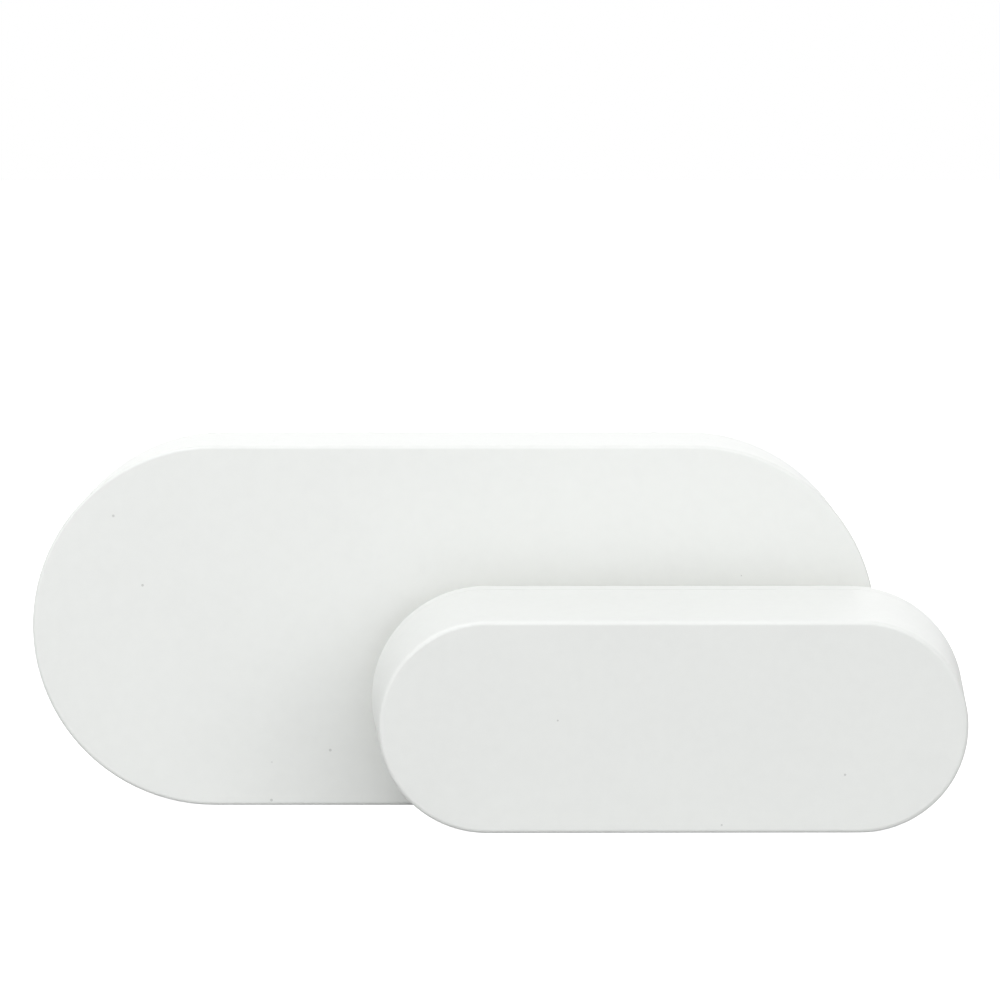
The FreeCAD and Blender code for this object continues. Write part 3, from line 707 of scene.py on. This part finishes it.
# ---------------- screws
def add_screws():
    """Four thread-forming screws with domed heads and a cross recess."""
    for number, (low, high) in enumerate(solids_of("chassis_screws", SENSOR), 1):
        radius = (high.x - low.x) / 2
        length = high.y - low.y
        seat = length - SCREW_HEAD_HEIGHT

        def thread(along, angle):
            if not 0.5 < along < seat - 0.35:
                return 0.0
            phase = (along / SCREW_THREAD_PITCH - angle / (2 * math.pi)) % 1.0
            return SCREW_THREAD_DEPTH * max(0.0, 1 - abs(phase - 0.5) / 0.3)

        core = SCREW_SHANK_RADIUS - SCREW_THREAD_DEPTH
        shank = [(0, 0), (0.02, 0.16), (0.3, 0.42)]
        rings = int((seat - 0.4) / (SCREW_THREAD_PITCH / 9))
        shank += [(0.4 + (seat - 0.4) * i / rings, core) for i in range(rings + 1)] + [(seat, 0)]
        head = [
            (seat, 0), (seat, radius - 0.06), (seat + 0.06, radius), (seat + 0.42, radius),
            (seat + 0.66, radius - 0.12), (seat + 0.84, radius - 0.42), (seat + 0.95, radius - 0.85),
            (length, 0),
        ]
        slots = []
        for turn in (0, 90):
            slot = brick((2 * SCREW_RECESS_DEPTH, 0.34, 1.6), (0, 0, 0), 0)
            for vert in slot.verts:
                if vert.co.x < 0:
                    vert.co.y *= 0.55
                    vert.co.z *= 0.5
            slot.transform(Matrix.Translation((length, 0, 0)) @ turn_about("X", turn))
            slots.append(slot)
        screw = Piece(SENSOR, ((low.x + high.x) / 2, low.y, (low.z + high.z) / 2))
        turn = ALONG_Y @ turn_about("X", 23 + 61 * number)
        screw.add(turned(shank, 28, ripple=thread), "screw", turn)
        screw.add(carved(turned(head, 48), *slots), "screw", turn)
        screw.build(f"chassis_screw_{number}", "sensor_unit", ("chassis_screws",))


# ---------------- tapes and foam
def foam_edges(bm, front, back, amount):
    """Lets the cut edge of a foam sheet swell a little between its faces and waver along its length."""
    for vert in bm.verts:
        depth = (vert.co.y - front) / (back - front)
        swell = math.sin(math.pi * min(max(depth, 0.0), 1.0))
        waver = math.sin(vert.co.x * 1.9) * math.sin(vert.co.z * 2.3 + vert.co.x * 0.7)
        vert.co += vert.normal * amount * (waver * 0.35 * swell)


def split_liner(length, height, holes):
    """Outlines of a release liner's two halves, parted along a wavy cut, each with its own holes."""
    rim = pill_outline(length, height)
    top, bottom = height / 2, -height / 2
    steps = 24
    cut = []
    for i in range(steps + 1):
        x = 1.6 * math.sin(2 * math.pi * i / steps) * math.sin(math.pi * i / steps)
        cut.append((x, bottom + (top - bottom) * i / steps))
    right = [p for p in rim if p[0] > 0] + [(x + LINER_CUT, z) for x, z in reversed(cut)]
    left = [p for p in rim if p[0] < 0] + [(x - LINER_CUT, z) for x, z in cut]
    return (right, [h for h in holes if h[0][0] > 0]), (left, [h for h in holes if h[0][0] < 0])


def add_tape(node, unit, body, holes, steps, edge, swell):
    """Mounting tape on a unit's back: foam, and a release liner cut in two for peeling."""
    low, high = span_of(node, unit)
    length, height = high.x - low.x, high.z - low.z
    split = high.y - LINER
    core = sheet_part([pill_outline(length, height, steps)] + holes, low.y, split, edge)
    core.normal_update()
    foam_edges(core, low.y, split, swell)
    tape = Piece(unit)
    tape.add(core, "foam_tape")
    pad = tape.build(node + "_foam", body, (node,))
    liner = Piece(unit)
    for outline, inner in split_liner(length, height, holes):
        liner.add(sheet_part([outline] + inner, split, high.y, 0.02), "release_paper")
    liner.build(node + "_liner", body, (node,))


def plate_screw_holes():
    """Outlines of the tape's clearance holes round the wall plate's two screws."""
    screw_x = mount_named("wall_plate_screw_holes")["dims"]["spacing_x_mm"] / 2
    return [circle_outline(x, 0, TAPE_HOLE_RADIUS, 48) for x in (screw_x, -screw_x)]


def add_foam_pad():
    """Pad that presses the bar magnet into its holder: flat on the magnet, crowned towards the cover."""
    low, high = span_of("magnet_foam_pad", MAGNET)
    size = high - low
    centre = (low + high) / 2
    bm = bmesh.new()
    bmesh.ops.create_cube(bm, size=1.0)
    bmesh.ops.subdivide_edges(bm, edges=bm.edges[:], cuts=11, use_grid_fill=True)
    for vert in bm.verts:
        x, y, z = (2 * c for c in vert.co)
        crown = (1 - abs(x) ** 6) * (1 - abs(z) ** 4)
        pull = 0.022 * (1 - y * y) * (1 - abs(y))
        waver = 0.012 * math.sin(9 * x + 4 * z) * math.sin(7 * z)
        y_new = 1.0 if y > 0.99 else y * (0.90 + 0.10 * crown) + waver * (1 - max(y, 0))
        vert.co = (x * (1 - pull - 0.01 * abs(y) ** 6), y_new, z * (1 - 2.5 * pull - 0.03 * abs(y) ** 6))
        vert.co = Vector([c * s / 2 for c, s in zip(vert.co, size)]) + centre
    bmesh.ops.recalc_face_normals(bm, faces=bm.faces)
    pad = Piece(MAGNET)
    pad.add(bm, "foam_pad")
    made = pad.build("magnet_pad", "magnet_unit", ("magnet_foam_pad",), smooth_angle=50)


# ---------------- parts on the circuit board
def solder_fillet(width, reach=0.28, rise=0.45):
    """Solder that climbs a part's end: X outwards from the end, Y forwards from the board, Z across."""
    bm = bmesh.new()
    bmesh.ops.create_cube(bm, size=1.0)
    bm.transform(Matrix.Diagonal((reach, rise, width, 1.0)) @ Matrix.Translation((0.5, -0.5, 0)))
    for vert in bm.verts:
        if vert.co.x > reach / 2 and vert.co.y < -rise / 2:
            vert.co.x = reach * 0.2
    bmesh.ops.bevel(bm, geom=bm.edges[:], offset=0.05, segments=2, profile=0.5, affect="EDGES")
    return bm


def add_chips(name, node, material):
    """Chip parts with plated ends and solder fillets, one for each solid of the node."""
    piece = Piece(SENSOR)
    for low, high in solids_of(node, SENSOR):
        size = high - low
        along = 0 if size.x > size.z else 2
        length, width = size[along], size[2 - along]
        turn = turn_about("Y", 0 if along == 0 else 90)
        centre = (low + high) / 2
        here = Matrix.Translation((centre.x, high.y, centre.z)) @ turn
        body = brick((length - 0.3, size.y - 0.06, width - 0.06), (0, -size.y / 2, 0), 0.05)
        piece.add(body, material, here)
        for side in (0, 180):
            end = here @ turn_about("Y", side)
            cap = brick((0.32, size.y, width), (length / 2 - 0.16, -size.y / 2, 0), 0.06)
            piece.add(cap, "contact", end)
            spot = end @ Matrix.Translation((length / 2 - 0.03, 0, 0))
            piece.add(solder_fillet(width * 0.9), "solder", spot)
    piece.build(name, "sensor_unit", (node,))


def add_switch(name, node):
    """Push switch: a black body under a folded steel cover, with a metal dome in its bore."""
    low, high = span_of(node, SENSOR)
    size, centre = high - low, (low + high) / 2
    bore = SWITCH_BORE_RADIUS
    body_depth = size.y - SWITCH_COVER
    body = brick((size.x, body_depth, size.z - 0.3), (centre.x, low.y + body_depth / 2, centre.z), 0.12)
    hole = turned([(0, 0), (0, bore), (2, bore), (2, 0)], 40)
    bore_floor = Matrix.Translation((centre.x, high.y - SWITCH_BORE_DEPTH, centre.z)) @ ALONG_Y
    hole.transform(bore_floor)
    piece = Piece(SENSOR)
    piece.add(carved(body, hole), "switch")
    half_x, half_z = size.x / 2, size.z / 2
    rim = [(-half_x, -half_z), (half_x, -half_z), (half_x, half_z), (-half_x, half_z)]
    lid = sheet_part([rim, circle_outline(0, 0, bore, 40)], high.y - SWITCH_COVER, high.y, 0.06)
    piece.add(lid, "contact", Matrix.Translation((centre.x, 0, centre.z)))
    for side in (-1, 1):
        fold_place = (centre.x, high.y - 0.75, centre.z + side * (half_z - 0.07))
        piece.add(brick((size.x * 0.45, 1.4, 0.13), fold_place, 0.04), "contact")
        for across in (-1, 1):
            leg_place = (centre.x + across * 1.05, low.y + 0.08, centre.z + side * (half_z + 0.25))
            piece.add(brick((0.6, 0.16, 1.0), leg_place, 0.04), "solder")
    dome = turned([(0, 0), (0, 1.1), (0.12, 1.05), (0.27, 0.78), (0.36, 0.42), (0.4, 0)], 40)
    piece.add(dome, "contact", bore_floor)
    piece.build(name, "sensor_unit", (node,))


def add_regulator():
    """Voltage regulator with a chamfered body and bent legs."""
    low, high = span_of("voltage_regulator", SENSOR)
    centre = (low + high) / 2
    piece = Piece(SENSOR)
    body = brick((high.x - low.x, high.y - low.y - 0.08, 1.6), (centre.x, centre.y - 0.04, centre.z), 0.14)
    piece.add(body, "chip")
    spot = turned([(0, 0), (0, 0.16), (0.03, 0.13), (0.03, 0)], 20)
    mark = Matrix.Translation((low.x + 0.4, low.y + 0.02, centre.z - 0.45)) @ turn_about("Z", -90)
    piece.add(spot, "shell_mark", mark)
    for x in (-0.95, 0, 0.95):
        for side in (-1, 1):
            foot = brick((0.4, 0.14, 0.42), (centre.x + x, high.y - 0.07, centre.z + side * 1.1), 0.04)
            knee = brick((0.4, 0.55, 0.13), (centre.x + x, high.y - 0.3, centre.z + side * 0.9), 0.04)
            piece.add(foot, "contact")
            piece.add(knee, "contact")
    piece.build("regulator", "sensor_unit", ("voltage_regulator",))


def add_lamp():
    """Surface-mounted lamp: a white cup filled with phosphor, and plated ends."""
    low, high = span_of("status_lamp", SENSOR)
    size, centre = high - low, (low + high) / 2
    piece = Piece(SENSOR)
    cup = brick((size.x - 0.2, size.y - 0.1, size.z), (centre.x, centre.y + 0.05, centre.z), 0.06)
    well = turned([(0, 0), (0, 0.38), (1, 0.6), (1, 0)], 32)
    well.transform(Matrix.Translation((centre.x, low.y + 0.45, centre.z)) @ turn_about("Z", -90))
    piece.add(carved(cup, well), "ceramic")
    fill = turned([(0, 0), (0, 0.4), (0.3, 0.5), (0.4, 0.3), (0.42, 0)], 32)
    here = Matrix.Translation((centre.x, low.y + 0.44, centre.z)) @ turn_about("Z", -90)
    piece.add(fill, "phosphor", here)
    for side in (-1, 1):
        end_place = (centre.x + side * (size.x / 2 - 0.175), high.y - size.y / 4, centre.z)
        piece.add(brick((0.35, size.y * 0.5, size.z - 0.1), end_place, 0.05), "contact")
    piece.build("lamp", "sensor_unit", ("status_lamp",))


def add_antenna():
    """Ceramic chip antenna with plated ends and its printed folded track."""
    low, high = span_of("chip_antenna", SENSOR)
    size, centre = high - low, (low + high) / 2
    piece = Piece(SENSOR)
    piece.add(brick((size.x, size.y, size.z), centre, 0.08), "ceramic")
    for side in (-1, 1):
        end_place = (centre.x, centre.y, centre.z + side * (size.z / 2 - 0.24))
        piece.add(brick((size.x + 0.02, size.y + 0.02, 0.5), end_place, 0.08), "contact")
    turns = 9
    step = (size.z - 1.4) / turns
    for i in range(turns + 1):
        z = low.z + 0.7 + i * step
        piece.add(brick((size.x - 0.5, 0.03, 0.14), (centre.x, low.y, z), 0.01), "contact")
        if i < turns:
            x = centre.x + (-1) ** i * (size.x / 2 - 0.32)
            piece.add(brick((0.14, 0.03, step), (x, low.y, z + step / 2), 0.01), "contact")
    piece.build("antenna", "sensor_unit", ("chip_antenna",))


def add_solder():
    """Plated edge pads of the radio board, and the solder joints of the reed switch's leads."""
    low, high = span_of("radio_module_board", SENSOR)
    piece = Piece(SENSOR)
    for side, edge in ((-1, low.z), (1, high.z)):
        for i in range(RADIO_EDGE_PADS):
            x = low.x + (high.x - low.x) * (i + 0.5) / RADIO_EDGE_PADS
            pad = brick((0.75, 0.56, 0.5), (x, (low.y + high.y) / 2, edge - side * 0.2), 0.06)
            piece.add(pad, "contact")
    lead_low, lead_high = span_of("reed_switch_blades", SENSOR)
    board = span_of("circuit_board", SENSOR)[0].y
    blob = [(0, 0), (0, 0.85), (0.12, 0.78), (0.34, 0.5), (0.48, 0.24), (0.5, 0)]
    for x in (lead_low.x + 1.0, lead_high.x - 1.0):
        here = Matrix.Translation((x, board, (lead_low.z + lead_high.z) / 2)) @ turn_about("Z", -90)
        piece.add(turned(blob, 32), "solder", here)
    piece.build("solder_joints", "sensor_unit")


# ---------------- moulded marks inside the casings
def raised(outlines, depth, height, forwards=False):
    """Low relief on a flat face at one depth."""
    low, high = (depth - height, depth + 0.05) if forwards else (depth - 0.05, depth + height)
    return sheet_part(outlines, low, high, 0.02)


def bar_outline(x, z, width, height):
    w, h = width / 2, height / 2
    return [(x - w, z - h), (x + w, z - h), (x + w, z + h), (x - w, z + h)]


def add_bay_marks():
    """Raised outline and polarity marks of each cell on the floor of the battery bay."""
    floor = BAY_FLOOR
    piece = Piece(SENSOR)
    for node, side in (("battery_cell_upper", 1), ("battery_cell_lower", -1)):
        low, high = span_of(node, SENSOR)
        z = (low.z + high.z) / 2
        rim = [bar_outline(0, z, 42.0, 8.2), bar_outline(0, z, 41.4, 7.6)]
        piece.add(raised(rim, floor, RELIEF), "chassis")
        arm = [(1.6, 0.3), (0.3, 0.3), (0.3, 1.6), (-0.3, 1.6), (-0.3, 0.3), (-1.6, 0.3),
               (-1.6, -0.3), (-0.3, -0.3), (-0.3, -1.6), (0.3, -1.6), (0.3, -0.3), (1.6, -0.3)]
        plus = [(side * 17.0 + x, z + h) for x, h in arm]
        piece.add(raised([plus], floor, RELIEF), "chassis")
        minus = bar_outline(-side * 17.0, z, 0.6, 3.2)
        piece.add(raised([minus], floor, RELIEF), "chassis")
    piece.build("bay_marks", "sensor_unit")


def ejector_rings(piece, places, depth, forwards):
    """Faint rings that ejector pins leave on the hidden faces of a moulding."""
    for x, z in places:
        rings = [circle_outline(x, z, 1.5, 40), circle_outline(x, z, 1.36, 40)]
        piece.add(raised(rings, depth, RING_RELIEF, forwards), "casing")


def add_moulding_marks():
    """Ejector rings inside the back plates and the magnet cover, and crush ribs in that cover."""
    plate_front = solids_of("wall_plate", SENSOR)[0][0].y + RIM_HEIGHT
    piece = Piece(SENSOR)
    ejector_rings(piece, [(x, z) for x in (-24, -8, 8, 24) for z in (-8.5, 8.5)], plate_front, True)
    piece.build("wall_plate_marks", "wall_mount")

    base_front = span_of("magnet_base", MAGNET)[0].y + RIM_HEIGHT
    piece = Piece(MAGNET)
    ejector_rings(piece, [(-17.5, 0), (17.5, 0)], base_front, True)
    piece.build("magnet_base_marks", "magnet_unit")

    front = span_of("magnet_cover", MAGNET)[0].y + MAGNET_WALL
    piece = Piece(MAGNET)
    ejector_rings(piece, [(x, z) for x in (-15, 15) for z in (-3.6, 3.6)], front, False)
    slope = math.degrees(math.atan(MAGNET_SLOPE))
    inner = MAGNET_FRONT_HEIGHT / 2 - MAGNET_WALL
    depth = front + 4.1
    for x in (-9, 9):
        for side in (-1, 1):
            rib = brick((0.7, 7.6, 0.7), (0, 0, 0), 0.16)
            spot = Matrix.Translation((x, depth, side * (inner + MAGNET_SLOPE * depth)))
            piece.add(rib, "casing", spot @ turn_about("X", side * slope))
    piece.build("magnet_cover_ribs", "magnet_shell")


# ---------------- CAD nodes that stay
def soften(node, width, segments=2, angle=40):
    """Small rounding on a CAD node's sharp edges, as a modifier."""
    made = nodes[node]
    weld = made.modifiers.new("weld", "WELD")
    weld.merge_threshold = 1e-7
    bevel = made.modifiers.new("bevel", "BEVEL")
    bevel.width = width * MM
    bevel.segments = segments
    bevel.limit_method = "ANGLE"
    bevel.angle_limit = math.radians(angle)
    bevel.harden_normals = True


paint("casing", "front_cover", "wall_plate", "magnet_cover", "magnet_base")
paint("chassis", "battery_chassis", "magnet_holder")
paint("board", "circuit_board")
paint("radio_board", "radio_module_board")
paint("shield", "radio_shield_can")
paint("glass", "reed_switch_glass")
paint("reed_metal", "reed_switch_blades")
paint("crystal_can", "crystal")
paint("button", "pairing_button", "tamper_plunger")
paint("magnet_metal", "magnet")
soften("battery_chassis", 0.1)
soften("magnet_holder", 0.15)
soften("magnet", 0.35, 4)
soften("radio_shield_can", 0.06)
soften("crystal", 0.12, 3)
soften("circuit_board", 0.04)
soften("radio_module_board", 0.04)

add_cell("cell_upper", "battery_cell_upper", 1)
add_cell("cell_lower", "battery_cell_lower", -1)
add_plate_contacts()
add_spring_contacts()
add_screws()
add_tape("sensor_tape", SENSOR, "wall_mount", plate_screw_holes(), 64, 0.09, 0.12)
add_tape("magnet_tape", MAGNET, "magnet_unit", [], 56, 0.07, 0.1)
add_foam_pad()
add_chips("capacitor_chips", "capacitors", "capacitor")
add_chips("resistor_chips", "resistors", "resistor")
add_switch("pairing_switch_body", "pairing_switch")
add_switch("tamper_switch_body", "tamper_switch")
add_regulator()
add_lamp()
add_antenna()
add_solder()
add_bay_marks()
add_moulding_marks()


# ---------------- stage, lights and camera
FLOOR_HALF = 2.5                     # metres
FLOOR_ALBEDO = 0.5
FLOOR_SEEN_GLOW = 1.1                # brightness that camera rays see on top of the card's own
# direction that the light comes from, and its strength there
ROOM_SIDES = (
    ((1, 0, 0), 0.334),
    ((0, 1, 0), 1.43),
    ((0, -1, 0), 1.228),
)
SOFTBOX_DISTANCE = 1.0               # metres, from the target
SOFTBOX_TARGET = Vector((0, 0, 0.015))
# name, azimuth and elevation in degrees, size in metres, power in watts
SOFTBOXES = (
    ("left_high", -50, 62, 0.5, 4.02),
    ("left_front", -40, 35, 0.6, 0.92),
    ("front_low", 0, 8, 0.6, 0.34),
    ("right_front_low", 32, 12, 0.4, 0.52),
)
CAMERA_PLACE = (0.000313, -0.430448, 0.060769)
CAMERA_PITCH = 4.6896                # degrees below the horizon
CAMERA_LENS = 187.52                 # millimetres, on a 36 mm sensor


def add_floor():
    """Plain card. It lights the object as mid-grey card does, and camera rays see it as plain white."""
    mesh = bpy.data.meshes.new("floor")
    corners = [(x * FLOOR_HALF, y * FLOOR_HALF, 0) for x, y in ((-1, -1), (1, -1), (1, 1), (-1, 1))]
    mesh.from_pydata(corners, [], [(0, 1, 2, 3)])
    floor = bpy.data.objects.new("floor", mesh)
    scene.collection.objects.link(floor)
    s = Surface("floor_card", Roughness=0.9, Specular_IOR_Level=0.2)
    tones = [rgba(*[FLOOR_ALBEDO * k] * 3) for k in (0.98, 1.0)]
    s.link(s.shades(s.noise(0.06, 2), *tones), "Base Color")
    glow = s.node("ShaderNodeEmission", {"Color": WHITE, "Strength": FLOOR_SEEN_GLOW}).outputs[0]
    bright = s.node("ShaderNodeAddShader", {0: s.shader.outputs[0], 1: glow}).outputs[0]
    seen = s.node("ShaderNodeLightPath").outputs["Is Camera Ray"]
    mix = s.node("ShaderNodeMixShader", {0: seen, 1: s.shader.outputs[0], 2: bright}).outputs[0]
    s.tree.links.new(mix, s.tree.nodes["Material Output"].inputs["Surface"])
    mesh.materials.append(s.material)


def add_world():
    """White room: each side's light fades away from its direction, and the camera sees plain white."""
    world = bpy.data.worlds.new("studio")
    world.use_nodes = True
    tree = world.node_tree
    place = add_node(tree, "ShaderNodeTexCoord").outputs["Generated"]
    total = 0.0
    for direction, strength in ROOM_SIDES:
        facing = add_node(tree, "ShaderNodeVectorMath", {0: place, 1: direction}, operation="DOT_PRODUCT")
        glow = {"Value": facing.outputs["Value"], "To Max": strength}
        glow = add_node(tree, "ShaderNodeMapRange", glow).outputs["Result"]
        total = add_node(tree, "ShaderNodeMath", {0: glow, 1: total}).outputs[0]
    light = tree.nodes["Background"]
    light.inputs["Color"].default_value = WHITE
    tree.links.new(total, light.inputs["Strength"])
    backdrop = add_node(tree, "ShaderNodeBackground", {"Color": WHITE}).outputs[0]
    seen = add_node(tree, "ShaderNodeLightPath").outputs["Is Camera Ray"]
    mix = add_node(tree, "ShaderNodeMixShader", {0: seen, 1: light.outputs[0], 2: backdrop})
    tree.links.new(mix.outputs[0], tree.nodes["World Output"].inputs["Surface"])
    scene.world = world


def add_softbox(name, azimuth, elevation, size, power):
    """Square area light aimed at the object. Azimuth 0 is the camera's side and 90 the right."""
    data = bpy.data.lights.new(name, "AREA")
    data.shape = "SQUARE"
    data.size = size
    data.energy = power
    light = bpy.data.objects.new(name, data)
    a, e = math.radians(azimuth), math.radians(elevation)
    direction = Vector((math.sin(a) * math.cos(e), -math.cos(a) * math.cos(e), math.sin(e)))
    light.location = SOFTBOX_TARGET + direction * SOFTBOX_DISTANCE
    light.rotation_euler = direction.to_track_quat("Z", "Y").to_euler()
    scene.collection.objects.link(light)


def add_camera():
    data = bpy.data.cameras.new("camera")
    data.sensor_width = 36.0
    data.lens = CAMERA_LENS
    data.clip_start = 0.01
    camera = bpy.data.objects.new("camera", data)
    camera.location = CAMERA_PLACE
    camera.rotation_euler = (math.radians(90 - CAMERA_PITCH), 0, 0)
    scene.collection.objects.link(camera)
    scene.camera = camera


add_floor()
add_world()
for box in SOFTBOXES:
    add_softbox(*box)
add_camera()
scene.view_settings.view_transform = "Standard"
scene.view_settings.look = "None"
